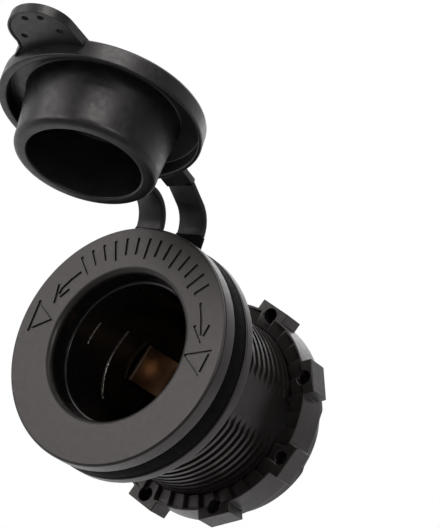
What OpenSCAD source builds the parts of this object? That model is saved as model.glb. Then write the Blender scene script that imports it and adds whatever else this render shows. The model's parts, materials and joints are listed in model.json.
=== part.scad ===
// Panel-mounted 12 V power socket with a screwed barrel, a ring nut and a tethered plug cap.
// The bore lies along Y: the mouth looks towards -Y and the barrel runs through the panel towards +Y.
// The origin is on the bore's axis, in the plane where the socket seats on its panel. +Z is up.
// The cap is drawn open, swung up on its two moulded straps.

/* [Bore] */
// Diameter of the bore that takes the plug
bore_d = 21.8; // [21.4:0.1:22.4]
// How much wider the mouth is than the bore, on the radius
mouth_step = 0.55; // [0.4:0.05:1]
// Depth of the wider mouth
mouth_h = 3.6; // [3:0.1:5]
// Rounding of the mouth's edge
mouth_round = 0.7; // [0.3:0.1:1]
// Length of the stretch behind the mouth that guides the plug
guide_h = 9.7; // [8:0.1:9.9]
// How much wider the bore is behind that stretch, on the radius
bore_relief = 0.3; // [0.2:0.05:0.4]
// Depth of the bore from the front face to its floor
bore_h = 34.5; // [33:0.5:36]
// Thickness of the barrel's end wall
end_wall = 4; // [3:0.5:6]

/* [Flange] */
// How far the flange stands out past the thread, on the radius
flange_over = 4.3; // [3.6:0.1:6]
// Thickness of the flange
flange_t = 2.7; // [2:0.1:3.5]
// Rounding of the flange's front edge
flange_round = 0.6; // [0.3:0.1:1]
// Width of the groove behind the flange that holds the rubber ring
groove_w = 3.5; // [3:0.1:4.5]
// Thickness of the shoulder behind the groove, which seats on the panel
shoulder_t = 1.8; // [1.2:0.1:2.4]

/* [Barrel] */
// Thickness of the barrel's wall, from the bore to the thread's crests
wall_t = 3.3; // [3.2:0.1:3.6]
// Distance between two turns of the thread
thread_pitch = 1.5; // [1.25:0.25:2]
// Depth of the thread
thread_h = 0.7; // [0.5:0.1:0.8]
// How far each flat lies inside the thread's crests
flat_in = 0.95; // [0.85:0.05:1.1]
// Plain length of the barrel between the panel seat and the first turn
neck_h = 0.6; // [0.2:0.2:4]
// Chamfer at the barrel's rear end
end_chamfer = 1.1; // [0.8:0.1:1.4]
// Distance of the end wall's blind slots inside the thread's crests
slot_in = 3; // [2.4:0.1:3.4]
// Length of a blind slot
slot_l = 3.6; // [2:0.2:4]
// Width of a blind slot
slot_w = 1; // [0.6:0.1:1.4]
// Depth of a blind slot
slot_h = 1.2; // [0.6:0.1:2]
// Direction of the blind slots to either side of the flats' middle
slot_dir = 35; // [30:1:45]

/* [Contact pockets] */
// Depth from the front face at which the pockets for the contact leaves begin
pocket_start = 13.9; // [13.5:0.1:16]
// Angle of bore wall that a pocket takes up
pocket_angle = 52; // [46:1:60]
// Depth of a pocket in the wall
pocket_depth = 1; // [0.8:0.1:1.1]
// Direction of the left pocket's middle, from +X towards +Z
pocket_dir = 172; // [165:1:180]

/* [Ring nut] */
// Radial thickness of the nut's ring
nut_wall = 2.6; // [2.2:0.1:3.2]
// Length of the nut along the barrel
nut_h = 5.5; // [3.5:0.1:6]
// Distance from the panel seat to the nut's front face
nut_at = 18.5; // [6:0.5:24]
// Running clearance between the nut and the thread, on the radius
nut_clear = 0.1; // [0.05:0.01:0.1]
// Number of lugs to turn the nut by
lugs = 8; // [6:1:10]
// How far a lug stands out from the ring
lug_out = 1.4; // [1:0.1:2]
// Width of a lug
lug_w = 5.5; // [4.5:0.1:6]
// How much shorter a lug is than the nut
lug_short = 1.4; // [0.4:0.1:2]
// Direction of the first lug's middle, from +X towards +Z
lug_dir = -20.3; // [-22:0.1:22]
// Diameter of the blind hole in each lug
lug_hole_d = 2.2; // [1.5:0.1:2.4]
// Depth of the blind hole in each lug
lug_hole_h = 2.4; // [1:0.1:3]
// Distance of that hole's middle from the lug's outer face
lug_hole_in = 1.6; // [1.4:0.1:2]
// Number of ratchet teeth on the front face
teeth = 36; // [30:1:40]
// Height of a ratchet tooth
tooth_h = 0.7; // [0.4:0.1:1]
// Share of its pitch that a tooth's slope takes up
tooth_slope = 0.88; // [0.7:0.02:0.92]
// Plain edge of the ring outside the teeth
tooth_edge = 0.5; // [0.4:0.1:1]
// Direction in which the first tooth's slope begins, from +X towards +Z
tooth_dir = 5; // [0:1:9]

/* [Cap] */
// How far the cap's disc reaches past the bore, on the radius
cap_over = 4.2; // [3.8:0.1:5]
// Thickness of the disc with its skirt
cap_t = 3.2; // [2.6:0.1:3.6]
// Thickness of the disc's web inside the skirt
cap_web = 1.6; // [1.2:0.1:2]
// Thickness of the skirt
skirt_t = 0.8; // [0.7:0.1:1.4]
// Rounding of the disc's outer edge
cap_round = 0.8; // [0.4:0.1:1]
// Length of the plug beyond the skirt
plug_h = 7.8; // [6:0.1:8.5]
// Wall of the plug
plug_wall = 1.2; // [0.9:0.1:1.6]
// Radial clearance of the plug's lip in the bore
lip_clear = 0.6; // [0.5:0.05:1]
// How far the lip stands out from the plug
lip_out = 0.4; // [0.2:0.1:0.6]
// Length of the lip
lip_h = 1.8; // [1.4:0.1:2.4]
// How far the lip's wall is thicker on the inside
lip_in = 0.3; // [0:0.1:0.6]
// Chamfer of the lip's edges
lip_chamfer = 0.5; // [0.3:0.1:0.7]
// Gap between the closed cap and the flange
cap_gap = 0.1; // [0.05:0.05:0.3]
// Width of the pull tab
tab_w = 11.4; // [10:0.2:16]
// How far the tab stands out from the disc
tab_out = 8.4; // [6:0.2:11]
// Thickness of the tab inside its bead
tab_t = 1.2; // [0.9:0.1:1.6]
// Height of the bead round the tab
tab_bead_h = 0.4; // [0.2:0.1:0.6]
// Width of the bead round the tab
tab_bead_w = 1.1; // [0.8:0.1:1.6]
// Turn of the tab about the cap's axis
tab_dir = 1.8; // [-4:0.1:4]
// Diameter of the grip dimples in the tab
dimple_d = 1.2; // [1:0.1:2]
// Depth of the grip dimples
dimple_h = 0.6; // [0.3:0.1:0.8]
// Distance between the two dimples nearer the disc
dimple_space = 6.5; // [5:0.1:7.4]
// Distance of those two from the tab's end
dimple_in = 5.4; // [4.6:0.1:6]
// Distance between the two dimples nearer the tab's end
dimple_end_space = 2; // [2:0.1:4]
// Distance of those two from the tab's end
dimple_end_in = 2.1; // [1.9:0.1:3]

/* [Straps] */
// Play of the rubber ring between flange and shoulder, on each side
ring_play = 0.05; // [0.05:0.05:0.2]
// How far the rubber ring lies inside the flange's edge, on the radius
ring_in = 0.15; // [0:0.05:0.6]
// Clearance of the rubber ring on the barrel, on the radius
ring_clear = 0.1; // [0.05:0.05:0.2]
// Width of one strap
strap_w = 4.8; // [4:0.1:5.5]
// Gap between the two straps
strap_space = 2.8; // [2:0.1:4]
// Thickness of the straps
strap_t = 1; // [0.8:0.1:1.2]
// Radius of the open straps' bend, at the middle of their thickness
strap_r = 4.7; // [4.4:0.1:5]
// Gap between the flange and the straps where they leave the ring
strap_back = 0.2; // [0.2:0.1:1]
// Height of the root pads on the ring, where the straps begin
root_h = 0.95; // [0.8:0.05:1.2]
// Height of the pads on the cap's edge, where the straps end
pad_h = 0.6; // [0.4:0.1:1]
// How far the cap is swung open
open_angle = 101.8; // [60:0.1:125]
// Distance from the front face back to the line that the cap swings about
hinge_depth = 1.1; // [1:0.1:2]
// Distance of that line below the top of the straps' bend
hinge_in = 2.45; // [1.5:0.05:2.6]
// How far that line has set out of square, in plan and in front view
hinge_skew = 4.57; // [0:0.01:5]

/* [Contacts] */
// Thickness of the sheet for the inner contacts
sheet_t = 0.5; // [0.4:0.05:0.6]
// Width of a side leaf
leaf_w = 6.3; // [5:0.1:7]
// Direction of the left leaf's middle, from +X towards +Z
leaf_dir = 166; // [166:0.5:178]
// Depth from the front face at which the leaves end
leaf_start = 20.3; // [18:0.1:24]
// How far a leaf's crown stands into the bore
leaf_crown = 1; // [0.5:0.1:1.5]
// Diameter of the rivets
rivet_d = 2.4; // [2:0.1:3]
// Diameter of the rivet heads
rivet_head_d = 3.8; // [3.4:0.1:3.9]
// Height of the rivet heads
rivet_head_h = 0.7; // [0.4:0.1:1]
// Gap between the insulating washer and the heads of the side contact's rivets
washer_gap = 1.4; // [1:0.1:2]
// How far the insulating washer reaches past the centre contact, on the radius
washer_over = 2.3; // [1.5:0.1:3]
// Thickness of the insulating washer
washer_t = 1; // [0.6:0.1:1.6]
// Height of the centre contact
button_h = 3.2; // [2:0.2:5]
// Chamfer of the centre contact's front edge
button_chamfer = 1; // [0.5:0.1:1.4]
// Clearance between the contacts and the walls round them
contact_gap = 0.2; // [0.1:0.05:0.3]

/* [Terminals] */
// Width of the blade terminals
blade_w = 6.3; // [4.8:0.1:6.4]
// Thickness of the blade terminals
blade_t = 0.8; // [0.5:0.1:1]
// Length of the blades from the barrel's end
blade_h = 11; // [8:0.5:14]
// Diameter of the hole in each blade
blade_hole_d = 2.4; // [1.2:0.1:2.6]
// Distance of that hole's middle from the blade's tip
blade_hole_at = 3.6; // [2.5:0.1:5]
// Chamfer of the blade's corners
blade_chamfer = 1; // [0.5:0.1:1.5]
// Height of the positive blade above the axis
positive_up = 5.2; // [4.5:0.1:7]
// Gap between the negative blade and the head of its rivet
blade_gap = 0.3; // [0.2:0.1:0.6]
// How far a terminal's foot reaches past its rivet's head
foot_over = 1.1; // [0.6:0.1:1.4]

/* [Hidden] */
$fn = 96;
tiny = 0.01;
past = 1;

moulding_black = "#1c1c1f";
rubber_black = "#262628";
brass = "#b08d3c";
nickel = "#a7a29a";
fibre = "#4a3a2c";

// Stations along the bore, measured from the panel seat
face_y = -(flange_t + groove_w + shoulder_t);
groove_y = face_y + flange_t;
shoulder_y = groove_y + groove_w;
mouth_y = face_y + mouth_h;
back_y = mouth_y + guide_h;
pocket_y = face_y + pocket_start;
leaf_y = face_y + leaf_start;
floor_y = face_y + bore_h;
end_y = floor_y + end_wall;

// Radii
bore_r = bore_d / 2;
mouth_r = bore_r + mouth_step;
back_r = bore_r + bore_relief;
pocket_r = bore_r + pocket_depth;
thread_r = bore_r + wall_t;
flange_r = thread_r + flange_over;
ring_r = flange_r - ring_in;
nut_bore_r = thread_r + nut_clear;
nut_r = nut_bore_r + nut_wall;
lug_r = nut_r + lug_out;
tooth_r = nut_r - tooth_edge;

// Contacts, from the wall inwards: each rivet, then the washer, then the centre contact
rivet_head_r = rivet_head_d / 2;
ground_rivet_down = bore_r - contact_gap - rivet_head_r;
washer_r = ground_rivet_down - rivet_head_r - washer_gap;
button_r = washer_r - washer_over;
leaf_out_r = sqrt(pocket_r * pocket_r - leaf_w * leaf_w / 4) - contact_gap / 2;
negative_down = ground_rivet_down - rivet_head_r - blade_t - blade_gap;

// The leaf's shape, as shares of its height above the floor
leaf_foot = 0.15;
leaf_rise = 0.6;
leaf_top = 0.72;

// Turns of the thread that fit between the neck and the chamfer
thread_end = end_y - end_chamfer;
turns = floor((thread_end - neck_h) / thread_pitch);
crest = thread_pitch / 8;

// The cap in its own frame: skirt edge at z = 0, plug towards +z, disc towards -z
cap_r = bore_r + cap_over;
tab_reach = cap_r + tab_out;
lip_r = bore_r - lip_clear;
plug_r = lip_r - lip_out;
hollow_r = plug_r - plug_wall;
web_z = -(cap_t - cap_web);
pad_back = -cap_t + cap_round;
pad_r = cap_r + pad_h;
cap_y = face_y - cap_gap;

// Straps
strap_x = (strap_space + strap_w) / 2;
strap_edge = strap_x + strap_w / 2;
strap_gap = 0.05;
root_y = groove_y + ring_play + strap_back + strap_t / 2;
root_z = ring_r + root_h;
// How deep a pad reaches into the disc's edge, so that its corners are held too
pad_in = cap_r - sqrt(cap_r * cap_r - strap_edge * strap_edge) + skirt_t / 4;

// The line that the cap swings about
hinge_dir = [1, tan(hinge_skew), tan(hinge_skew)];
hinge_at = [0, face_y + hinge_depth, root_z + strap_r - hinge_in];

// Where a point of the closed cap is when the cap is open
function swung(p) =
    let (k = hinge_dir / norm(hinge_dir), v = p - hinge_at)
    hinge_at + v * cos(open_angle) - cross(k, v) * sin(open_angle) + k * (k * v) * (1 - cos(open_angle));

// Turns a shape that was drawn along z so that it lies along the bore
module along_bore() {
    rotate([-90, 0, 0]) children();
}

// Turns a shape drawn along +x to a direction measured from +X towards +Z, seen from the front
module facing(direction) {
    rotate([0, 0, -direction]) children();
}

// A tube drawn along z from one station to another
module tube(outer, inner, from, to) {
    translate([0, 0, from]) difference() {
        cylinder(r = outer, h = to - from);
        translate([0, 0, -past]) cylinder(r = inner, h = to - from + 2 * past);
    }
}

// A sector of a disc, centred on +x, for cutting pockets
module sector(radius, angle, height) {
    rotate([0, 0, -angle / 2]) rotate_extrude(angle = angle) square([radius, height]);
}

// Swings what was drawn for the closed cap to its open place
module swung_open() {
    translate(hinge_at) rotate(a = -open_angle, v = hinge_dir) translate(-hinge_at) children();
}

// The cap's own frame, placed on the closed socket
module cap_place() {
    translate([0, cap_y, 0]) along_bore() children();
}

// One groove of the thread between two crests, as points of the barrel's outline
function thread_groove(i) =
    let (y = neck_h + i * thread_pitch, root = thread_r - thread_h, middle = y + thread_pitch / 2)
    [[thread_r, y + crest / 2], [root, middle - crest / 2], [root, middle + crest / 2],
     [thread_r, y + thread_pitch - crest / 2]];

// Outline of the flange, the groove, the shoulder and the screwed barrel, from the axis outwards
module body_profile() {
    polygon([
        [0, face_y],
        for (a = [0:15:90]) [flange_r - flange_round * (1 - sin(a)), face_y + flange_round * (1 - cos(a))],
        [flange_r, groove_y],
        [thread_r, groove_y],
        [thread_r, shoulder_y],
        [flange_r, shoulder_y],
        [flange_r, 0],
        [thread_r, 0],
        for (i = [0:turns - 1]) each thread_groove(i),
        [thread_r, thread_end],
        [thread_r - end_chamfer, end_y],
        [0, end_y]]);
}

// Outline of the bore with its wider mouth and rounded edge
module bore_profile() {
    polygon([
        [0, face_y - past],
        [mouth_r + mouth_round, face_y - past],
        for (a = [0:15:90]) [mouth_r + mouth_round * (1 - sin(a)), face_y + mouth_round * (1 - cos(a))],
        [mouth_r, mouth_y - mouth_step],
        [bore_r, mouth_y],
        [bore_r, back_y],
        [back_r, back_y],
        [back_r, floor_y],
        [0, floor_y]]);
}

// One of the two flats along the threaded length
module flat_cut(direction) {
    facing(direction) translate([thread_r - flat_in, -thread_r, neck_h])
        cube([thread_r, 2 * thread_r, end_y - neck_h + past]);
}

// Blind slots that the mould leaves in the end wall
module end_slots() {
    for (side = [0, 180], turn = [-slot_dir, slot_dir])
        facing(side + turn) translate([thread_r - slot_in - slot_w / 2, -slot_l / 2, end_y - slot_h])
            cube([slot_w, slot_l, slot_h + past]);
}

module socket_body() {
    color(moulding_black) along_bore() difference() {
        rotate_extrude() body_profile();
        rotate([0, 0, 45]) rotate_extrude() bore_profile();
        for (direction = [pocket_dir, pocket_dir + 180])
            facing(direction) translate([0, 0, pocket_y])
                sector(pocket_r, pocket_angle, floor_y - pocket_y);
        for (direction = [0, 180]) flat_cut(direction);
        end_slots();
        translate([0, 0, floor_y - past]) cylinder(d = rivet_d, h = end_wall + 2 * past);
        for (side = [-1, 1]) translate([0, side * ground_rivet_down, floor_y - past])
            cylinder(d = rivet_d, h = end_wall + 2 * past);
    }
}

// The rubber ring in the groove behind the flange, with a root pad for each strap
module strap_ring() {
    color(rubber_black) {
        along_bore() rotate([0, 0, 45])
            tube(ring_r, thread_r + ring_clear, groove_y + ring_play, shoulder_y - ring_play);
        for (side = [-1, 1])
            translate([side * strap_x - strap_w / 2, root_y - strap_t / 2, (thread_r + ring_r) / 2])
                cube([strap_w, strap_t, root_z - (thread_r + ring_r) / 2]);
    }
}

// Side view of a strap: a bend about the origin and a straight leg from the bend's end
module strap_side(bend_angle, leg) {
    steps = 16;
    out = strap_r + strap_t / 2;
    in = strap_r - strap_t / 2;
    way = [-sin(bend_angle), cos(bend_angle)] * leg;
    polygon([
        for (i = [0:steps]) let (a = bend_angle * i / steps) [out * cos(a), out * sin(a)],
        [out * cos(bend_angle), out * sin(bend_angle)] + way,
        [in * cos(bend_angle), in * sin(bend_angle)] + way,
        for (i = [steps:-1:0]) let (a = bend_angle * i / steps) [in * cos(a), in * sin(a)]]);
}

// One strap, which ends on the cap's pad. It turns a little about its root to meet the pad,
// because the skewed swing line carries the pad to one side.
module strap(side) {
    root = [side * strap_x, root_y, root_z];
    pad = swung([side * strap_x, cap_y + pad_back / 2, pad_r]);
    over = norm([pad.x - root.x, pad.y - root.y]);
    reach = norm([over - strap_r, pad.z - root_z]);
    bend_angle = atan2(pad.z - root_z, strap_r - over) - acos(strap_r / reach);
    leg = sqrt(reach * reach - strap_r * strap_r) + past;
    turn = atan2(pad.x - root.x, root.y - pad.y);
    color(rubber_black) difference() {
        translate(root) rotate([0, 0, turn]) translate([-strap_w / 2, -strap_r, 0])
            rotate([90, 0, 90]) linear_extrude(strap_w) strap_side(bend_angle, leg);
        swung_open() cap_place() translate([-cap_r, -pad_r - strap_gap, -cap_r]) cube(2 * cap_r);
    }
}

// The pull tab's outline, grown by a given amount. It starts inside the disc's edge.
module tab_shape(grow) {
    half = tab_w / 2;
    start = cap_r - cap_web - cap_round;
    translate([0, tab_reach - half]) circle(r = half + grow);
    translate([-half - grow, start]) square([tab_w + 2 * grow, tab_reach - half - start]);
}

module cap_disc() {
    rotate_extrude() polygon([
        [0, -cap_t],
        for (a = [0:15:90]) [cap_r - cap_round * (1 - sin(a)), -cap_t + cap_round * (1 - cos(a))],
        [cap_r, 0],
        [cap_r - skirt_t, 0],
        [cap_r - skirt_t, web_z],
        [plug_r, web_z],
        [plug_r, plug_h - lip_h],
        [lip_r, plug_h - lip_h + lip_out],
        [lip_r, plug_h - lip_chamfer],
        [lip_r - lip_chamfer, plug_h],
        [hollow_r - lip_in + lip_chamfer, plug_h],
        [hollow_r - lip_in, plug_h - lip_chamfer],
        [hollow_r - lip_in, plug_h - lip_h],
        [hollow_r, plug_h - lip_h - lip_in],
        [hollow_r, web_z],
        [0, web_z]]);
}

// Thumb tab with a bead round its edge and four dimples
module cap_tab() {
    rotate([0, 0, tab_dir]) difference() {
        translate([0, 0, -cap_t]) linear_extrude(tab_t + tab_bead_h) tab_shape(0);
        translate([0, 0, -cap_t + tab_t]) linear_extrude(tab_bead_h + past) tab_shape(-tab_bead_w);
        for (side = [-1, 1]) {
            dimple(side * dimple_space / 2, dimple_in);
            dimple(side * dimple_end_space / 2, dimple_end_in);
        }
        translate([0, 0, -cap_t - past]) cylinder(r = cap_r - cap_round - skirt_t, h = cap_t + 2 * past);
    }
}

module dimple(x, from_end) {
    translate([x, tab_reach - from_end, -cap_t + tab_t - dimple_h])
        cylinder(d = dimple_d, h = dimple_h + past, $fn = 24);
}

module cap() {
    color(rubber_black) swung_open() cap_place() {
        cap_disc();
        cap_tab();
        for (side = [-1, 1]) translate([side * strap_x - strap_w / 2, -pad_r, pad_back])
            cube([strap_w, pad_h + pad_in, -pad_back]);
    }
}

// The wedge that is cut away between two ratchet teeth, drawn at +x
module tooth_cut() {
    run = tooth_r * sin(360 / teeth) * tooth_slope;
    translate([nut_bore_r - past, 0, 0]) rotate([90, 0, 90])
        linear_extrude(tooth_r - nut_bore_r + past)
            polygon([[0, -tiny], [run, -tiny], [run, tooth_h], [0, 0]]);
}

module ring_nut() {
    color(moulding_black) along_bore() translate([0, 0, nut_at]) difference() {
        union() {
            cylinder(r = nut_r, h = nut_h);
            for (i = [0:lugs - 1]) facing(lug_dir + i * 360 / lugs)
                translate([nut_bore_r + nut_wall / 2, -lug_w / 2, 0])
                    cube([lug_r - nut_bore_r - nut_wall / 2, lug_w, nut_h - lug_short]);
        }
        translate([0, 0, -past]) cylinder(r = nut_bore_r, h = nut_h + 2 * past);
        for (i = [0:teeth - 1]) facing(tooth_dir + i * 360 / teeth) tooth_cut();
        for (i = [0:lugs - 1]) facing(lug_dir + i * 360 / lugs)
            translate([lug_r - lug_hole_in, 0, -tiny]) cylinder(d = lug_hole_d, h = lug_hole_h, $fn = 32);
    }
}

// Side view of one leaf: the middle line of the sheet, from the floor ring up to its tip
module leaf(direction) {
    seat_r = leaf_out_r - sheet_t / 2;
    crown_r = bore_r - leaf_crown + sheet_t / 2;
    span = floor_y - leaf_y;
    line = [
        [seat_r, floor_y],
        [seat_r, floor_y - leaf_foot * span],
        [crown_r, floor_y - leaf_rise * span],
        [crown_r, floor_y - leaf_top * span],
        [seat_r, leaf_y]];
    half = sheet_t / 2;
    facing(direction) translate([0, leaf_w / 2, 0]) rotate([90, 0, 0]) linear_extrude(leaf_w)
        polygon([
            for (p = line) [p.x - half, p.y],
            for (i = [len(line) - 1:-1:0]) [line[i].x + half, line[i].y]]);
}

// One stamping: a ring on the floor with a sprung leaf on each side
module ground_contact() {
    color(brass) along_bore() difference() {
        union() {
            rotate([0, 0, 45])
                tube(bore_r - contact_gap, washer_r + contact_gap, floor_y - sheet_t, floor_y);
            for (direction = [leaf_dir, leaf_dir + 180]) {
                facing(direction) translate([washer_r + washer_gap, -leaf_w / 2, floor_y - sheet_t])
                    cube([leaf_out_r - washer_r - washer_gap, leaf_w, sheet_t]);
                leaf(direction);
            }
        }
        for (side = [-1, 1]) translate([0, side * ground_rivet_down, floor_y - sheet_t - past])
            cylinder(d = rivet_d, h = sheet_t + 2 * past);
    }
}

module insulating_washer() {
    color(fibre) along_bore() tube(washer_r, rivet_d / 2, floor_y - washer_t, floor_y);
}

// A button with a sunk seat for the rivet's head
module centre_contact() {
    top = floor_y - washer_t - button_h;
    seat_r = rivet_head_r + contact_gap;
    color(brass) along_bore() rotate_extrude() polygon([
        [rivet_d / 2, floor_y - washer_t],
        [button_r, floor_y - washer_t],
        [button_r, top + button_chamfer],
        [button_r - button_chamfer, top],
        [seat_r, top],
        [seat_r, top + rivet_head_h],
        [rivet_d / 2, top + rivet_head_h]]);
}

// A rivet along z with a head at each end of its grip
module rivet(from, to) {
    translate([0, 0, from - rivet_head_h]) cylinder(d = rivet_head_d, h = rivet_head_h, $fn = 48);
    translate([0, 0, from - tiny]) cylinder(d = rivet_d, h = to - from + 2 * tiny, $fn = 48);
    translate([0, 0, to]) cylinder(d = rivet_head_d, h = rivet_head_h, $fn = 48);
}

module centre_rivet() {
    color(brass) along_bore()
        rivet(floor_y - washer_t - button_h + rivet_head_h, end_y + blade_t);
}

module ground_rivets() {
    color(brass) along_bore() {
        translate([0, ground_rivet_down, 0]) rivet(floor_y - sheet_t, end_y + blade_t);
        translate([0, -ground_rivet_down, 0]) rivet(floor_y - sheet_t, end_y);
    }
}

// A blade that rises from a foot on the end wall. The foot runs down from the blade's height.
module terminal(up, foot_h, rivet_at, tint) {
    color(tint) {
        difference() {
            translate([-blade_w / 2, end_y, up - foot_h]) cube([blade_w, blade_t, foot_h]);
            translate([0, end_y - past, rivet_at]) along_bore()
                cylinder(d = rivet_d, h = blade_t + 2 * past);
        }
        difference() {
            translate([0, end_y, up - blade_t]) linear_extrude(blade_t) polygon([
                [-blade_w / 2, 0],
                [blade_w / 2, 0],
                [blade_w / 2, blade_h - blade_chamfer],
                [blade_w / 2 - blade_chamfer, blade_h],
                [-blade_w / 2 + blade_chamfer, blade_h],
                [-blade_w / 2, blade_h - blade_chamfer]]);
            translate([0, end_y + blade_h - blade_hole_at, up - blade_t - past])
                cylinder(d = blade_hole_d, h = blade_t + 2 * past, $fn = 32);
        }
    }
}

module positive_terminal() {
    top = positive_up + blade_t;
    terminal(top, top + rivet_head_r + foot_over, 0, brass);
}

module negative_terminal() {
    foot_h = ground_rivet_down - negative_down + rivet_head_r + foot_over;
    terminal(-negative_down, foot_h, -ground_rivet_down, nickel);
}

socket_body();
strap_ring();
strap(-1);  // strap_left
strap(1);  // strap_right
cap();
ring_nut();
ground_contact();
insulating_washer();
centre_contact();
centre_rivet();
ground_rivets();
positive_terminal();
negative_terminal();
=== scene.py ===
# %% [markdown]
# # A panel-mounted 12 V power socket with its ring nut and tethered cap
# The real object is a black moulded socket for a car's panel. A rubber cap hangs open on two
# straps, a lugged nut runs on the barrel's thread, and brass contacts sit inside.
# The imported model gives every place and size, so the first step loads it as a fixed frame. All
# pieces below are drawn in millimetres and scaled to metres once, when they are finished.

# %% Load the frame
import bpy
import bmesh
import json
import math
from mathutils import Matrix, Vector


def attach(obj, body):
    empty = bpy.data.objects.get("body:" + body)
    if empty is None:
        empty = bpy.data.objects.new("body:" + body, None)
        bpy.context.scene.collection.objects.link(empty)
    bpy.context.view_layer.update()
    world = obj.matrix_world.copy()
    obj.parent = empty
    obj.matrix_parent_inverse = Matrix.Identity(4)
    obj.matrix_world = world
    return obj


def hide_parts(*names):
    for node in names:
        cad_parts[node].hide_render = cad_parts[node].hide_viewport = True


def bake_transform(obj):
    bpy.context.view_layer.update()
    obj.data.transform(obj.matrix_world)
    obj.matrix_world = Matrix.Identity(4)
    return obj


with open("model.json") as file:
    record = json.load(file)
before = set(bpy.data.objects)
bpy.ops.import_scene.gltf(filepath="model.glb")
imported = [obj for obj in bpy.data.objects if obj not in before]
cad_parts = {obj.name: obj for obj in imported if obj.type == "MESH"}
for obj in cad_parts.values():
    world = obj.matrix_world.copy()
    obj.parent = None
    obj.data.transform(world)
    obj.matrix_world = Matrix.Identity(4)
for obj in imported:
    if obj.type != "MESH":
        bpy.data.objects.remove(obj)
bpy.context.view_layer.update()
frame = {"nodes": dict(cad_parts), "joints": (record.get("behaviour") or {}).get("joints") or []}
MM = 0.001
print("nodes in the frame:", sorted(frame["nodes"]))

# %% [markdown]
# ## Camera
# The photo shows circles of known size, so the camera could be fitted to them. It stands about
# 370 mm away, right of the mouth and a little below it, with a long lens, which keeps the flange
# and the nut at nearly the same scale.

# %% Camera
right = Vector((0.8067, 0.501, 0.3136))
down = Vector((0.1273, 0.371, -0.9199))
forward = Vector((-0.5772, 0.7819, 0.2355))
camera_data = bpy.data.cameras.new("camera")
camera = bpy.data.objects.new("camera", camera_data)
bpy.context.scene.collection.objects.link(camera)
turn = Matrix((right, -down, -forward)).transposed().to_4x4()
camera.matrix_world = Matrix.Translation(Vector((220.7, -289.2, -70.1)) * MM) @ turn
camera_data.lens = 170.7
camera_data.sensor_width = 36
camera_data.clip_start = 0.01
bpy.context.scene.camera = camera
print("camera at", [round(v, 4) for v in camera.location])

# %% [markdown]
# ## Helpers for materials
# Every finish here starts the same way: a Principled shader, and the object's own coordinates
# turned into millimetres. A noise of a given size in millimetres is then easy to read. Noise
# changes the colour a little, roughens the gloss in places and gives the surface its fine grain.

# %% Helpers for materials
def start_material(name):
    """A material with a Principled shader, and object coordinates in millimetres."""
    material = bpy.data.materials.new(name)
    material.use_nodes = True
    tree = material.node_tree
    shader = tree.nodes["Principled BSDF"]
    place = tree.nodes.new("ShaderNodeTexCoord")
    scale = tree.nodes.new("ShaderNodeMapping")
    scale.inputs["Scale"].default_value = (1000, 1000, 1000)
    tree.links.new(place.outputs["Object"], scale.inputs["Vector"])
    return material, tree, shader, scale.outputs["Vector"]


def noise(tree, vector, size, detail=3.0):
    """Noise whose blotches are about size millimetres across."""
    node = tree.nodes.new("ShaderNodeTexNoise")
    node.inputs["Scale"].default_value = 1 / size
    node.inputs["Detail"].default_value = detail
    tree.links.new(vector, node.inputs["Vector"])
    return node.outputs["Fac"]


def between(tree, factor, low, high, start=0.3, end=0.7):
    """A number that runs from low to high while factor runs from start to end."""
    node = tree.nodes.new("ShaderNodeMapRange")
    for socket, value in (("From Min", start), ("From Max", end), ("To Min", low), ("To Max", high)):
        node.inputs[socket].default_value = value
    tree.links.new(factor, node.inputs["Value"])
    return node.outputs["Result"]


def two_tones(tree, factor, first, second, start=0.3, end=0.7):
    """A colour that runs from first to second."""
    node = tree.nodes.new("ShaderNodeValToRGB")
    node.color_ramp.elements[0].position = start
    node.color_ramp.elements[1].position = end
    node.color_ramp.elements[0].color = (*first, 1)
    node.color_ramp.elements[1].color = (*second, 1)
    tree.links.new(factor, node.inputs["Fac"])
    return node.outputs["Color"]


def grain(tree, shader, height, depth, strength=1.0):
    """A bump of the given depth in millimetres."""
    node = tree.nodes.new("ShaderNodeBump")
    node.inputs["Strength"].default_value = strength
    node.inputs["Distance"].default_value = depth * MM
    tree.links.new(height, node.inputs["Height"])
    tree.links.new(node.outputs["Normal"], shader.inputs["Normal"])

# %% [markdown]
# ## Black moulding
# The body and the nut are satin black nylon. It is nearly black, slightly warm, and its gloss
# changes over a few millimetres where the melt cooled at different speeds. A very fine grain
# keeps highlights soft. The bore's wall gets a darker, glossier copy; its darker colour is
# painted shade of the deep bore. The nut reflects a little less. The ring in the groove is dull black
# rubber, made with the same function, darker still as painted shade of the groove and almost unreflective.

# %% Black moulding
def moulding(name, dark, light, rough_low, rough_high, specular=0.5):
    """Satin nylon: two near-black tones, a changing gloss and a fine grain."""
    material, tree, shader, mm = start_material(name)
    cloud = noise(tree, mm, 3.0, 5)
    tree.links.new(two_tones(tree, cloud, dark, light), shader.inputs["Base Color"])
    gloss = noise(tree, mm, 0.8, 5)
    tree.links.new(between(tree, gloss, rough_low, rough_high), shader.inputs["Roughness"])
    grain(tree, shader, noise(tree, mm, 0.35, 3), 0.012, 0.7)
    shader.inputs["Specular IOR Level"].default_value = specular
    shader.inputs["Specular Tint"].default_value = (1, 0.92, 0.91, 1)
    return material


black_moulding = moulding("black_moulding", (0.0056, 0.0045, 0.0042), (0.009, 0.0073, 0.0068),
                          0.33, 0.42)
# A darker copy of the same nylon for the bore's wall: its darker colour is painted shade of the deep bore.
shaded_bore_moulding = moulding("shaded_bore_moulding", (0.0028, 0.0025, 0.0024), (0.004, 0.0036, 0.0034),
                         0.18, 0.28, specular=0.4)
nut_moulding = moulding("nut_moulding", (0.0056, 0.0046, 0.0043), (0.009, 0.0074, 0.007),
                        0.32, 0.44, specular=0.42)
# The ring's rubber: its own dull black, darkened further and made almost unreflective as painted shade of the
# groove.
shaded_ring_rubber = moulding("shaded_ring_rubber", (0.0022, 0.0022, 0.0023), (0.0034, 0.0034, 0.0035),
                       0.6, 0.75, specular=0.03)
print("made", black_moulding.name, shaded_bore_moulding.name, nut_moulding.name, shaded_ring_rubber.name)
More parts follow.
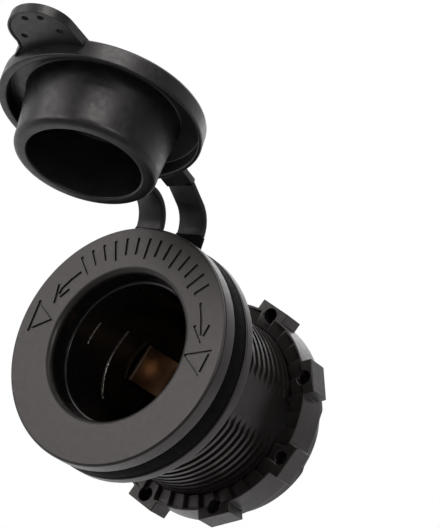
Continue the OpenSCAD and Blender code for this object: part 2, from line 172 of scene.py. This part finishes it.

# %% [markdown]
# ## Charcoal rubber
# The cap and its straps are one soft rubber. It is a little lighter and duller than the moulding,
# with a powdery bloom in small patches. The straps get a darker copy that reflects less, as painted shade.

# %% Charcoal rubber
def soft_rubber(name, dark, light, specular):
    """Dull rubber with a faint bloom."""
    material, tree, shader, mm = start_material(name)
    bloom = noise(tree, mm, 1.6, 6)
    tree.links.new(two_tones(tree, bloom, dark, light), shader.inputs["Base Color"])
    tree.links.new(between(tree, noise(tree, mm, 0.9, 5), 0.3, 0.46), shader.inputs["Roughness"])
    grain(tree, shader, noise(tree, mm, 0.3, 3), 0.012, 0.7)
    shader.inputs["Specular IOR Level"].default_value = specular
    shader.inputs["Specular Tint"].default_value = (1, 0.95, 0.94, 1)
    return material


rubber = soft_rubber("charcoal_rubber", (0.005, 0.0047, 0.0047), (0.0095, 0.009, 0.009), 0.5)
# The straps' copy of the same rubber is darker and reflects less than the cap's: painted shade.
shaded_strap_rubber = soft_rubber("shaded_strap_rubber", (0.0045, 0.004, 0.004), (0.0075, 0.0068, 0.0068), 0.32)
print("made", rubber.name, shaded_strap_rubber.name)

# %% [markdown]
# ## Metals and fibre
# The contacts are stamped brass, with rolling marks along the strip and a warm tarnish in
# patches. The second blade is nickel plated, so it is grey and a little smoother. The washer is
# brown pressed fibre.

# %% Metals and fibre
def stamped(name, clean, tarnished, rough_low, rough_high, marks):
    """Sheet metal with fine rolling marks that run along one axis."""
    material, tree, shader, mm = start_material(name)
    shader.inputs["Metallic"].default_value = 1.0
    patches = noise(tree, mm, 4.0, 2)
    tree.links.new(two_tones(tree, patches, clean, tarnished, 0.4, 0.75), shader.inputs["Base Color"])
    stretch = tree.nodes.new("ShaderNodeMapping")
    stretch.inputs["Scale"].default_value = marks
    tree.links.new(mm, stretch.inputs["Vector"])
    rolling = noise(tree, stretch.outputs["Vector"], 0.2, 2)
    tree.links.new(between(tree, rolling, rough_low, rough_high), shader.inputs["Roughness"])
    grain(tree, shader, rolling, 0.002, 0.4)
    return material


brass = stamped("stamped_brass", (0.80, 0.60, 0.43), (0.70, 0.48, 0.33), 0.28, 0.4, (1, 0.12, 1))
nickel = stamped("nickel_plate", (0.46, 0.43, 0.40), (0.36, 0.33, 0.30), 0.2, 0.32, (1, 0.12, 1))
fibre, tree, shader, mm = start_material("pressed_fibre")
fibres = noise(tree, mm, 0.4, 6)
tree.links.new(two_tones(tree, fibres, (0.07, 0.04, 0.025), (0.13, 0.08, 0.05)), shader.inputs["Base Color"])
tree.links.new(between(tree, noise(tree, mm, 0.8), 0.6, 0.8), shader.inputs["Roughness"])
grain(tree, shader, noise(tree, mm, 0.2, 4), 0.02)
print("made", brass.name, nickel.name, fibre.name)

# %% [markdown]
# ## Helpers for shapes
# Most pieces are turned: an outline of corners is drawn once and spun round the bore's axis.
# Each corner carries its own rounding, because moulded edges are never sharp and a thin bright
# line along them is what makes a black part readable. Rounding the flat outline first costs far
# fewer faces than bevelling the finished solid.

# %% Helpers for shapes
SHARP = math.radians(35)


def faces_in(geom):
    return [f for f in geom if isinstance(f, bmesh.types.BMFace)]


def verts_in(geom):
    return [v for v in geom if isinstance(v, bmesh.types.BMVert)]


def outline_face(bm, corners, segments=3):
    """A flat face in the plane z = 0 from (radius, depth, rounding) corners."""
    verts = [bm.verts.new((radius, depth, 0)) for radius, depth, _ in corners]
    bm.faces.new(verts)
    for size in sorted({rounding for _, _, rounding in corners if rounding}):
        chosen = [v for v, (_, _, rounding) in zip(verts, corners) if rounding == size]
        bmesh.ops.bevel(bm, geom=chosen, offset=size, offset_type="OFFSET", segments=segments,
                        profile=0.5, affect="VERTICES", material=-1, clamp_overlap=True)
    return bm.faces[:][0]


def turned(corners, steps=192, segments=3):
    """The outline spun once round the bore's axis, closed."""
    bm = bmesh.new()
    face = outline_face(bm, corners, segments)
    loop = list(face.verts) + list(face.edges)
    bmesh.ops.spin(bm, geom=loop, cent=(0, 0, 0), axis=(0, 1, 0), angle=2 * math.pi,
                   steps=steps, use_merge=True)
    bmesh.ops.delete(bm, geom=[face], context="FACES_ONLY")
    return bm


def block(bm, low, high, rounding, segments=2):
    """A block between two corners, its edges rounded."""
    low, high = Vector(low), Vector(high)
    matrix = Matrix.Translation((low + high) / 2) @ Matrix.Diagonal((*(high - low), 1))
    made = bmesh.ops.create_cube(bm, size=1, matrix=matrix)["verts"]
    edges = list({e for v in made for e in v.link_edges})
    bmesh.ops.bevel(bm, geom=edges, offset=rounding, offset_type="OFFSET",
                    segments=segments, profile=0.5, affect="EDGES", material=-1)


def facing(direction):
    """Turns +X to a direction measured towards +Z, seen from the front."""
    return Matrix.Rotation(-math.radians(direction), 4, "Y")


def add_part(bm, part):
    """Adds one bmesh to another and frees it."""
    mesh = bpy.data.meshes.new("part")
    part.to_mesh(mesh)
    part.free()
    bm.from_mesh(mesh)


def as_object(bm, name, material):
    """Merges doubles, turns the faces outwards, and makes an object in metres."""
    bmesh.ops.remove_doubles(bm, verts=bm.verts, dist=0.0005)
    bmesh.ops.recalc_face_normals(bm, faces=bm.faces)
    bmesh.ops.transform(bm, matrix=Matrix.Scale(MM, 4), verts=bm.verts)
    mesh = bpy.data.meshes.new(name)
    bm.to_mesh(mesh)
    bm.free()
    mesh.shade_smooth()
    mesh.set_sharp_from_angle(angle=SHARP)
    mesh.materials.append(material)
    piece = bpy.data.objects.new(name, mesh)
    bpy.context.scene.collection.objects.link(piece)
    return piece


def cut(piece, bm, overlapping=False):
    """Cuts the shells in bm out of a piece and throws the cutter away."""
    cutter = as_object(bm, "cutter", piece.data.materials[0])
    step = piece.modifiers.new("cut", "BOOLEAN")
    step.operation = "DIFFERENCE"
    step.solver = "EXACT"
    step.use_self = overlapping
    step.object = cutter
    view = bpy.context.evaluated_depsgraph_get()
    mesh = bpy.data.meshes.new_from_object(piece.evaluated_get(view))
    piece.modifiers.clear()
    piece.data = mesh
    bpy.data.objects.remove(cutter)
    mesh.shade_smooth()
    mesh.set_sharp_from_angle(angle=SHARP)


def flat_faces_stay_flat(piece):
    """Large flat faces keep their own normal next to small rounded edges."""
    step = piece.modifiers.new("flat faces", "WEIGHTED_NORMAL")
    step.keep_sharp = True
    step.weight = 80


def hand_over(piece, body, slot, *nodes):
    """Puts a finished piece on its body, in place of its nodes."""
    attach(piece, body)
    if nodes:
        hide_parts(*nodes)
    print(piece.name, "has", len(piece.data.polygons), "faces")

# %% [markdown]
# ## Socket body
# The body is one moulding: a flange, a groove for the rubber ring, a shoulder that seats on the
# panel, and a screwed barrel with two flats. Its whole section is drawn as one closed outline,
# from the rivet hole in the floor round the bore, the flange and the thread and back.
# The groove's corners repeat with the thread's pitch, so one list makes all turns.

# %% Outline of the body
face_y, groove_front, groove_back = -8.0, -5.3, -1.8
bore_r, mouth_r, back_r, pocket_r = 10.9, 11.45, 11.2, 11.9
mouth_step_y, back_step_y = -4.4, 5.3
thread_r, flange_r, rivet_r = 14.2, 18.5, 1.2
floor_y, end_y, chamfer = 26.5, 30.5, 1.1
pitch, thread_h, neck_y, turns = 1.5, 0.6, 0.6, 18
crest, root = 0.46 * pitch, 0.12 * pitch

front_corners = [
    (rivet_r, end_y, 0), (rivet_r, floor_y, 0), (back_r, floor_y, 0.3),
    (back_r, back_step_y, 0), (bore_r, back_step_y, 0.08), (bore_r, mouth_step_y, 0.24),
    (bore_r + 0.36, mouth_step_y, 0.04), (mouth_r - 0.05, mouth_step_y - 1, 0.3), (mouth_r, face_y, 1.0),
    (flange_r, face_y, 0.4), (flange_r, groove_front, 0.28), (thread_r, groove_front, 0),
    (thread_r, groove_back, 0), (flange_r, groove_back, 0.22), (flange_r, 0, 0.25),
    (thread_r, 0, 0), (thread_r, neck_y, 0)]
thread_corners = []
for i in range(turns):
    y = neck_y + i * pitch
    thread_corners += [(thread_r, y + crest / 2, 0.06),
                       (thread_r - thread_h, y + (pitch - root) / 2, 0),
                       (thread_r - thread_h, y + (pitch + root) / 2, 0),
                       (thread_r, y + pitch - crest / 2, 0.06)]
end_corners = [(thread_r, end_y - chamfer, 0), (thread_r - chamfer, end_y, 0)]
body_corners = front_corners + thread_corners + end_corners
print("the body's outline has", len(body_corners), "corners")

# %% [markdown]
# ## Screw thread
# Spinning the outline makes plain rings. A real thread climbs one pitch in each turn, so the
# outline is spun without joining its two ends, every groove is then pushed along by its share of
# the turn, and each groove's end meets the start of the next. The first and the last groove fade
# out, as they do where a tool leaves the thread. The flats are made last, by moving what stands
# past them back to their plane, which gives the ragged ends of the crests at the flat's edges.

# %% Spin the body and pull its rings into a screw thread
bm = bmesh.new()
face = outline_face(bm, body_corners)
loop = list(face.verts) + list(face.edges)
spun = bmesh.ops.spin(bm, geom=loop, cent=(0, 0, 0), axis=(0, 1, 0), angle=2 * math.pi,
                      steps=192, use_merge=False)
last = set(verts_in(spun["geom_last"]))
bmesh.ops.delete(bm, geom=[face], context="FACES_ONLY")
for v in bm.verts:
    radius = math.hypot(v.co.x, v.co.z)
    if radius < thread_r - thread_h - 0.1 or not neck_y + 0.01 < v.co.y < neck_y + turns * pitch:
        continue
    share = 1.0 if v in last else (math.atan2(-v.co.z, v.co.x) / (2 * math.pi)) % 1.0
    climbed = int((v.co.y - neck_y) / pitch) + share
    fade = max(0.0, min(1.0, climbed / 0.5, (turns - climbed) / 0.5))
    if radius < thread_r - 0.01:
        radius_now = thread_r - thread_h * fade
        v.co.x, v.co.z = v.co.x * radius_now / radius, v.co.z * radius_now / radius
    v.co.y += share * pitch
    if climbed < 1e-4:
        v.co.y = neck_y
    if climbed > turns - 1e-4:
        v.co.y = end_y - chamfer
flat_x = thread_r - 0.95
for v in bm.verts:
    if v.co.y > neck_y + 0.001:
        v.co.x = max(-flat_x, min(flat_x, v.co.x))
socket_body = as_object(bm, "flanged_barrel", black_moulding)
check = bmesh.new()
check.from_mesh(socket_body.data)
print("edges of the barrel with less than two faces:", sum(len(e.link_faces) < 2 for e in check.edges),
      "and with more:", sum(len(e.link_faces) > 2 for e in check.edges))
check.free()

# %% [markdown]
# ## Pockets, slots and rivet holes
# Two pockets in the bore leave room for the side contact's leaves, and the mould leaves blind
# slots in the rear face. They are cut out, because their edges cross the turned surface.

# %% Cut the pockets, the slots and the rivet holes
pocket_y, pocket_half, rivet_at = 5.9, 26, 8.8
bm = bmesh.new()
for direction in (172, 352):
    corners = [(8, pocket_y), (pocket_r, pocket_y), (pocket_r, floor_y - 0.001), (8, floor_y - 0.001)]
    verts = [bm.verts.new((radius, depth, 0)) for radius, depth in corners]
    sector = bm.faces.new(verts)
    bmesh.ops.rotate(bm, verts=verts, cent=(0, 0, 0), matrix=facing(direction + pocket_half).to_3x3())
    bmesh.ops.spin(bm, geom=verts + list(sector.edges) + [sector], cent=(0, 0, 0), axis=(0, 1, 0),
                   angle=math.radians(2 * pocket_half), steps=pocket_half, use_merge=False)
for direction in (35, -35, 145, 215):
    slot_at = facing(direction) @ Matrix.Translation((thread_r - 3, end_y, 0))
    bmesh.ops.create_cube(bm, size=1, matrix=slot_at @ Matrix.Diagonal((1, 2.4, 3.6, 1)))
for z in (rivet_at, -rivet_at):
    hole_at = Matrix.Translation((0, (floor_y + end_y) / 2, z)) @ Matrix.Rotation(math.pi / 2, 4, "X")
    bmesh.ops.create_cone(bm, cap_ends=True, segments=32, radius1=rivet_r, radius2=rivet_r, depth=8,
                          matrix=hole_at)
cut(socket_body, bm)
# The bore's wall and pockets get the darker copy: painted shade inside the bore.
socket_body.data.materials.append(shaded_bore_moulding)
for polygon in socket_body.data.polygons:
    middle = polygon.center / MM
    inside = math.hypot(middle.x, middle.z) < pocket_r + 0.01
    if inside and face_y + 1.2 < middle.y < floor_y + 0.01:
        polygon.material_index = 1
print("the body now has", len(socket_body.data.polygons), "faces")

# %% [markdown]
# ## Marks on the flange
# The flange carries engraved marks: an arrow at each side, curved with the flange, and a small
# outlined triangle below each. Between the arrows a plain row of ticks is engraved, like the
# scale of a dial. A mark is a row of thin blocks sunk into the face. Strokes of one mark overlap
# at its corners, so the cut is told to expect cutters that overlap each other.

# %% Engrave the marks
def on_face(radius, direction):
    """A point on the flange's face."""
    angle = math.radians(direction)
    return Vector((radius * math.cos(angle), face_y, radius * math.sin(angle)))


def stroke(bm, start, end, width=0.46, depth=0.28):
    """A straight thin block from start to end, half of it in the face."""
    way = end - start
    matrix = (Matrix.Translation((start + end) / 2) @ Matrix.Rotation(-math.atan2(way.z, way.x), 4, "Y")
              @ Matrix.Diagonal((way.length + width, 2 * depth, width, 1)))
    bmesh.ops.create_cube(bm, size=1, matrix=matrix)


def lines(bm, *points):
    """Strokes from point to point; a point is (across, up) on the flange."""
    points = [Vector((x, face_y, z)) for x, z in points]
    for start, end in zip(points, points[1:]):
        stroke(bm, start, end)


marks = bmesh.new()
for i in range(14):
    direction = 133 - 7 * i
    stroke(marks, on_face(14.4 if i % 3 else 13.8, direction), on_face(16.6, direction), 0.5)
lines(marks, (-10.75, 9.84), (-12.0, 8.45), (-13.0, 7.0), (-13.54, 4.8))
lines(marks, (-13.8, 7.35), (-13.54, 4.8), (-11.8, 6.9))
lines(marks, (12.2, 8.2), (13.1, 6.3), (13.8, 4.4), (14.3, 2.8))
lines(marks, (12.5, 4.75), (14.3, 2.8), (14.85, 5.15))
lines(marks, (-16.2, 4.4), (-16.5, -0.1), (-12.8, 2.1), (-16.2, 4.4))
lines(marks, (12.6, 0.4), (16.5, 1.6), (15.8, -2.0), (12.6, 0.4))
cut(socket_body, marks, overlapping=True)
flat_faces_stay_flat(socket_body)
hand_over(socket_body, "socket", "moulding", "socket_body")

# %% [markdown]
# ## Bright arcs in the bore: painted highlights
# Two thin nickel rims lie in the bore's wall as painted highlights for the glints on its edges. Only
# their rounded front edges show, as fine bright arcs in the dark bore. A rim is a small rounded section, spun
# through a part of a turn.

# %% Bright rims in the bore, painted highlights
rim_w = 0.3
bm = bmesh.new()
for inner, depth, low, high in ((10.82, -0.8, 154, 174), (11.0, 5.9, 148, 208)):
    rim = bmesh.new()
    section = outline_face(rim, [(inner, depth, 0.1), (inner + rim_w, depth, 0),
                                 (inner + rim_w, depth + rim_w, 0), (inner, depth + rim_w, 0.1)])
    bmesh.ops.rotate(rim, verts=rim.verts, cent=(0, 0, 0), matrix=facing(high).to_3x3())
    bmesh.ops.spin(rim, geom=rim.verts[:] + rim.edges[:] + [section], cent=(0, 0, 0), axis=(0, 1, 0),
                   angle=math.radians(high - low), steps=(high - low) // 2, use_merge=False)
    add_part(bm, rim)
# Nickel rims as painted highlights: bright arcs standing for glints on the bore's edges.
highlight_rims = as_object(bm, "highlight_rims", nickel)
hand_over(highlight_rims, "socket", "plated")

# %% [markdown]
# ## Rubber ring
# The ring sits in the groove behind the flange. On its top are two root pads, where the straps
# leave it. The ring is turned, and the pads are small rounded blocks that start inside it.

# %% Rubber ring
strap_at, strap_w, strap_t, root_y, root_z = 3.8, 4.8, 1.0, -4.55, 19.3
ring_in, ring_out, gap = 14.3, 18.35, 0.05
bm = turned([(ring_in, groove_front + gap, 0.2), (ring_out, groove_front + gap, 0.3),
             (ring_out, groove_back - gap, 0.3), (ring_in, groove_back - gap, 0.2)])
for side in (-1, 1):
    block(bm, (side * strap_at - strap_w / 2, root_y - strap_t / 2, 16.5),
          (side * strap_at + strap_w / 2, root_y + strap_t / 2, root_z), 0.18)
# The ring gets the darkest rubber, partly its own black and partly painted shade of the groove it sits in.
rubber_ring = as_object(bm, "rubber_ring", shaded_ring_rubber)
# The root pads get the straps' darker copy of the rubber, painted shade.
rubber_ring.data.materials.append(shaded_strap_rubber)
for polygon in rubber_ring.data.polygons:
    if polygon.center.z / MM > ring_out + 0.05:
        polygon.material_index = 1
hand_over(rubber_ring, "socket", "rubber", "strap_ring")

# %% [markdown]
# ## Where the cap is
# The cap is drawn closed, lying on the flange, and then swung open about the hinge's line. The
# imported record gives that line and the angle, so the open cap lands exactly where its solid is.

# %% Where the cap is
hinge = next(j for j in frame["joints"] if j["name"] == "cap_hinge")
hinge_at = Vector(hinge["pos_m"]) / MM
open_angle = math.radians(hinge["range_deg"][1])
cap_y = face_y - 0.1
swing = (Matrix.Translation(hinge_at) @ Matrix.Rotation(-open_angle, 4, Vector(hinge["axis"]))
         @ Matrix.Translation(-hinge_at))
print("the cap is swung open by", round(math.degrees(open_angle), 1), "degrees")

# %% [markdown]
# ## Cap
# The cap has a domed disc with a thin skirt, and a hollow plug whose rounded lip grips the bore.
# Disc and plug are one turned outline. The recess under the skirt is moved a little sideways, as
# on the real cap. The outline stops just short of the axis, and its last ring is merged to a point.

# %% Cap disc and plug
cap_r, cap_t, web, plug_h = 15.1, 3.2, 2.1, 7.8
lip_r, plug_r, root_r, hollow_r = 10.5, 10.65, 11.35, 8.7
corners = [(0.02, -cap_t, 0), (cap_r, -cap_t, 0.8), (cap_r, 0, 0.3),
           (cap_r - 1.0, 0, 0.3), (cap_r - 1.0, -web, 0.2), (root_r, -web, 0.3),
           (root_r - 0.1, -0.4, 1.2), (plug_r, 3.8, 2.4), (lip_r, plug_h, 1.0), (hollow_r - 0.3, plug_h, 0.3),
           (hollow_r, -web, 0.5), (0.02, -web, 0)]
bm = turned([(radius, cap_y + depth, rounding) for radius, depth, rounding in corners], segments=5)


def from_axis(v):
    return math.hypot(v.co.x, v.co.z)


recess = [v for v in bm.verts if 13 < from_axis(v) < cap_r - 0.65 and v.co.y > cap_y - web - 0.01]
bmesh.ops.translate(bm, verts=recess, vec=(0.4, 0, 0))
bmesh.ops.remove_doubles(bm, verts=[v for v in bm.verts if from_axis(v) < 0.03], dist=0.08)
print("the disc and plug have", len(bm.faces), "faces")

# %% [markdown]
# ## Cap tab
# A thumb tab with a narrow bead and four dimples stands out from the disc. Its outline is half a
# circle, with a flare where one side meets the disc. The outline is extruded, and its top is inset
# and lowered, so that the bead stays standing. The dimples are cut with small spheres.

# %% Cap tab
half, tab_end, tab_t, bead_w, bead_h = 4.9, 22.65, 1.54, 0.45, 0.15
tab_y = cap_y - cap_t + 0.03
tab = bmesh.new()
first = tab.verts.new((half, tab_y, -(tab_end - half)))
bmesh.ops.spin(tab, geom=[first], cent=(0, 0, -(tab_end - half)), axis=(0, 1, 0), angle=math.pi, steps=32)
for across, from_middle in ((-half, 16.8), (-half - 0.4, 15.6), (-half - 2.4, 13.9),
                            (-half - 2.4, 12.5), (half, 13.2)):
    tab.verts.new((across, tab_y, -from_middle))
tab_face = tab.faces.new(tab.verts[:])
top = bmesh.ops.extrude_face_region(tab, geom=[tab_face])["geom"]
top_face = faces_in(top)
bmesh.ops.translate(tab, verts=verts_in(top), vec=(0, tab_t, 0))
bmesh.ops.recalc_face_normals(tab, faces=tab.faces)
bmesh.ops.inset_individual(tab, faces=top_face, thickness=bead_w - bead_h)
bmesh.ops.inset_individual(tab, faces=top_face, thickness=bead_h, depth=-bead_h)
rim = [e for e in tab.edges if len(e.link_faces) == 2 and e.calc_face_angle() > math.radians(30)]
bmesh.ops.bevel(tab, geom=rim, offset=0.12, offset_type="OFFSET", segments=3, profile=0.5,
                affect="EDGES", material=-1, clamp_overlap=True)
tab_piece = as_object(tab, "tab", rubber)
dimples = bmesh.new()
for across, from_end in ((3.0, 5.0), (-3.0, 5.0), (1.8, 1.8), (-0.6, 1.5)):
    dimple_at = Matrix.Translation((across, tab_y + tab_t - bead_h, -(tab_end - from_end)))
    bmesh.ops.create_uvsphere(dimples, u_segments=24, v_segments=12, radius=0.5, matrix=dimple_at)
cut(tab_piece, dimples)
print("the tab has", len(tab_piece.data.polygons), "faces")

# %% [markdown]
# ## Joining and swinging the cap
# The tab and the two strap pads join the disc while the cap is still closed. The tab leans a
# little to one side, as on the real cap. Then the whole cap is swung open in one move.

# %% Join and swing the cap
joined = bmesh.new()
joined.from_mesh(tab_piece.data)
lean = Matrix.Rotation(math.radians(2.2), 4, "Y") @ Matrix.Translation((0.76, 0, 0))
bmesh.ops.transform(joined, matrix=lean @ Matrix.Scale(1 / MM, 4), verts=joined.verts)
add_part(bm, joined)
bpy.data.objects.remove(tab_piece)
pad_end, pad_y, pad_half_w, pad_half_t = 17.8, cap_y - 1.2, 2.3, 0.6
for side in (-1, 1):
    block(bm, (side * strap_at - pad_half_w, pad_y - pad_half_t, 14.1),
          (side * strap_at + pad_half_w, pad_y + pad_half_t, pad_end), 0.2)
bmesh.ops.transform(bm, matrix=swing, verts=bm.verts)
plug_cap = as_object(bm, "plug_cap", rubber)
flat_faces_stay_flat(plug_cap)
hand_over(plug_cap, "cap", "rubber", "cap")

# %% [markdown]
# ## Straps
# Two flat straps join the ring to the cap. Each leaves its root pad upwards, bends forwards and
# runs straight to the cap. A strap is one rounded cross-section, spun through the bend and then
# extruded along the straight part in short steps, because it has to bend smoothly when the cap
# closes. Both straps are one piece.

# %% Straps
strap_r, steps, pad_r = 4.7, 10, pad_end - 0.2
bm = bmesh.new()
for side in (-1, 1):
    root = Vector((side * strap_at, root_y, root_z))
    pad = swing @ Vector((side * strap_at, pad_y, pad_r))
    over = math.hypot(pad.x - root.x, pad.y - root.y)
    reach = math.hypot(over - strap_r, pad.z - root_z)
    bend = math.atan2(pad.z - root_z, strap_r - over) - math.acos(strap_r / reach)
    leg = math.sqrt(reach * reach - strap_r * strap_r) - 0.05
    part = bmesh.new()
    section = [part.verts.new((x * strap_w / 2, y * strap_t / 2, 0))
               for x, y in ((-1, -1), (1, -1), (1, 1), (-1, 1))]
    part.faces.new(section)
    bmesh.ops.bevel(part, geom=section, offset=0.22, offset_type="OFFSET", segments=3, profile=0.5,
                    affect="VERTICES", material=-1)
    start_face = part.faces[:][0]
    geom = list(start_face.verts) + list(start_face.edges) + [start_face]
    moved = bmesh.ops.spin(part, geom=geom, cent=(0, -strap_r, 0), axis=(1, 0, 0), angle=bend,
                           steps=24)["geom_last"]
    way = Vector((0, -math.sin(bend), math.cos(bend)))
    for i in range(steps):
        grown = bmesh.ops.extrude_face_region(part, geom=faces_in(moved))["geom"]
        bmesh.ops.translate(part, verts=verts_in(grown), vec=way * leg / steps)
        bmesh.ops.delete(part, geom=faces_in(moved), context="FACES_ONLY")
        moved = grown
    lean = math.atan2(pad.x - root.x, root.y - pad.y)
    upright = Matrix.Translation(root) @ Matrix.Rotation(lean, 4, "Z")
    bmesh.ops.transform(part, matrix=upright, verts=part.verts)
    print("strap", side, "bends by", round(math.degrees(bend), 1), "degrees, then runs", round(leg, 2), "mm")
    add_part(bm, part)
# The straps get the darker copy of the cap's rubber, painted shade.
cap_straps = as_object(bm, "cap_straps", shaded_strap_rubber)
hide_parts("strap_left", "strap_right")
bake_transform(cap_straps)

# %% [markdown]
# ## Ring nut
# The nut's solid has the right shape, but its edges are perfectly sharp, and the moulded nut shows
# a thin light line along each edge. Its mesh is copied, the loose triangles are merged into flat
# faces, and every sharp edge gets a very small rounding. The nut keeps its size.

# %% Ring nut
bm = bmesh.new()
bm.from_mesh(frame["nodes"]["ring_nut"].data)
bmesh.ops.transform(bm, matrix=Matrix.Scale(1 / MM, 4), verts=bm.verts)
bmesh.ops.remove_doubles(bm, verts=bm.verts, dist=0.002)
bmesh.ops.dissolve_limit(bm, angle_limit=math.radians(0.5), verts=bm.verts, edges=bm.edges)
ring_nut = as_object(bm, "lugged_nut", nut_moulding)
edge = ring_nut.modifiers.new("edge", "BEVEL")
edge.width = 0.14 * MM
edge.segments = 2
edge.limit_method = "ANGLE"
edge.angle_limit = math.radians(30)
edge.use_clamp_overlap = False
flat_faces_stay_flat(ring_nut)
hand_over(ring_nut, "nut", "moulding", "ring_nut")

# %% [markdown]
# ## Side contact
# The side contact is one brass stamping: a flat ring on the bore's floor and two sprung leaves
# that stand along the wall and bow into the bore, where they touch a plug. A leaf is the side view
# of the bowed sheet, rounded at its bends and then extruded by the leaf's width.

# %% Side contact
sheet_t, leaf_w, leaf_dir = 0.5, 6.3, 163.5
seat_r, crown_r, tip_y, crown_y, foot_y = 11.126, 10.15, 12.7, 17.1, 24.4
washer_in, washer_out, washer_y = 5.7, 10.7, floor_y - sheet_t
bm = turned([(washer_in, washer_y, 0), (washer_out, washer_y, 0.1), (washer_out, floor_y, 0),
             (washer_in, floor_y, 0)], steps=96)
for direction in (leaf_dir, leaf_dir + 180):
    near = [(seat_r, floor_y - 0.3, 0), (seat_r, foot_y, 1.6), (crown_r, crown_y, 3.0), (seat_r, tip_y, 0.08)]
    side = [(r - sheet_t / 2, y, rounding) for r, y, rounding in near]
    side += [(r + sheet_t / 2, y, rounding) for r, y, rounding in reversed(near)]
    part = bmesh.new()
    side_face = outline_face(part, side, segments=8)
    bmesh.ops.translate(part, verts=part.verts, vec=(0, 0, -leaf_w / 2))
    grown = bmesh.ops.extrude_face_region(part, geom=[side_face])["geom"]
    bmesh.ops.translate(part, verts=verts_in(grown), vec=(0, 0, leaf_w))
    rim = [e for e in part.edges if len(e.link_faces) == 2 and e.calc_face_angle() > math.radians(50)]
    bmesh.ops.bevel(part, geom=rim, offset=0.07, offset_type="OFFSET", segments=2, profile=0.5,
                    affect="EDGES", material=-1, clamp_overlap=True)
    block(part, (6.9, washer_y, -leaf_w / 2), (seat_r, floor_y - 0.02, leaf_w / 2), 0.05)
    bmesh.ops.transform(part, matrix=facing(direction), verts=part.verts)
    add_part(bm, part)
side_contact = as_object(bm, "side_contact", brass)
hand_over(side_contact, "socket", "brass", "ground_contact")

# %% [markdown]
# ## Finishes on the other nodes
# These solids already have the right shape, so they keep it and only get their finish.

# %% Finishes on the other nodes
for node, material in (("insulating_washer", fibre), ("centre_contact", brass), ("centre_rivet", brass),
                       ("ground_rivets", brass), ("positive_terminal", brass), ("negative_terminal", nickel)):
    mesh = frame["nodes"][node].data
    mesh.materials.clear()
    mesh.materials.append(material)
print("finished the carried-over nodes")

# %% [markdown]
# ## Light and floor
# The photo was taken in soft studio light on white. The world is plain white to the camera. In
# reflections it is white behind the object and darker towards the camera, as in a real room, and
# as a light it is dimmer, so that a colour renders about as written with the lamps. Soft lamps in
# front, above, at the side and behind give the edges their highlights. The floor is pale and keeps
# the object's shadow, and in reflections it too gets darker towards the camera.

# %% Light and floor
world = bpy.data.worlds.new("studio")
bpy.context.scene.world = world
world.use_nodes = True
tree = world.node_tree


def backdrop(colour, strength):
    """A background of one colour, or of the colours from a node."""
    node = tree.nodes.new("ShaderNodeBackground")
    node.inputs["Strength"].default_value = strength
    if isinstance(colour, tuple):
        node.inputs["Color"].default_value = (*colour, 1)
    else:
        tree.links.new(colour, node.inputs["Color"])
    return node.outputs[0]


def choose(tree, factor, first, second):
    """The second shader where factor is 1, the first elsewhere."""
    node = tree.nodes.new("ShaderNodeMixShader")
    tree.links.new(factor, node.inputs["Fac"])
    tree.links.new(first, node.inputs[1])
    tree.links.new(second, node.inputs[2])
    return node.outputs[0]


way = tree.nodes.new("ShaderNodeTexCoord")
behind = tree.nodes.new("ShaderNodeVectorMath")
behind.operation = "DOT_PRODUCT"
behind.inputs[1].default_value = forward
tree.links.new(way.outputs["Generated"], behind.inputs[0])
room = two_tones(tree, behind.outputs["Value"], (0.16, 0.16, 0.16), (1, 1, 1), 0.0, 0.88)
path = tree.nodes.new("ShaderNodeLightPath")
shine = tree.nodes.new("ShaderNodeMath")
shine.operation = "MAXIMUM"
tree.links.new(path.outputs["Is Glossy Ray"], shine.inputs[0])
tree.links.new(path.outputs["Is Transmission Ray"], shine.inputs[1])
reflected = choose(tree, shine.outputs[0], backdrop((1, 1, 1), 0.4), backdrop(room, 1.0))
seen = choose(tree, path.outputs["Is Camera Ray"], reflected, backdrop((1, 1, 1), 1.0))
tree.links.new(seen, tree.nodes["World Output"].inputs["Surface"])
bpy.context.scene.view_settings.view_transform = "Standard"


def lamp(name, direction, distance, size, watts):
    """A soft square lamp that looks at the object's middle."""
    data = bpy.data.lights.new(name, "AREA")
    data.size = size
    data.energy = watts
    obj = bpy.data.objects.new(name, data)
    bpy.context.scene.collection.objects.link(obj)
    place = Vector(direction).normalized() * distance
    obj.matrix_world = Matrix.Translation(place) @ place.to_track_quat("Z", "Y").to_matrix().to_4x4()


lamp("key", (-0.62, -0.74, 0.3), 0.7, 0.5, 1.75)
lamp("front", (-0.28, -0.95, 0.08), 0.6, 0.25, 0.6)
lamp("overhead", (0.12, -0.24, 0.96), 0.6, 0.3, 0.9)
lamp("back", (-0.2, 0.78, 0.58), 0.6, 0.3, 0.35)
lamp("top", (0.33, -0.6, 0.72), 0.6, 0.3, 1.3)
lamp("side", (0.8, -0.56, 0.24), 0.6, 0.2, 0.7)
bm = bmesh.new()
bmesh.ops.create_grid(bm, x_segments=1, y_segments=1, size=1500, matrix=Matrix.Translation((0, 0, -80)))
floor_finish, tree, shader, mm = start_material("pale_floor")
pale = two_tones(tree, noise(tree, mm, 60.0), (0.80, 0.80, 0.79), (0.84, 0.84, 0.83))
tree.links.new(pale, shader.inputs["Base Color"])
shader.inputs["Roughness"].default_value = 0.9
across = tree.nodes.new("ShaderNodeVectorMath")
across.operation = "DOT_PRODUCT"
across.inputs[1].default_value = (-0.6, 0.8, 0)
tree.links.new(mm, across.inputs[0])
glow = tree.nodes.new("ShaderNodeEmission")
glow.inputs["Strength"].default_value = 1.0
share = between(tree, across.outputs["Value"], 0, 1, -60, 70)
tree.links.new(two_tones(tree, share, (0.2, 0.2, 0.2), (1, 1, 1), 0, 1), glow.inputs["Color"])
path = tree.nodes.new("ShaderNodeLightPath")
output = tree.nodes["Material Output"]
seen = choose(tree, path.outputs["Is Glossy Ray"], shader.outputs[0], glow.outputs[0])
tree.links.new(seen, output.inputs["Surface"])
floor = as_object(bm, "floor", floor_finish)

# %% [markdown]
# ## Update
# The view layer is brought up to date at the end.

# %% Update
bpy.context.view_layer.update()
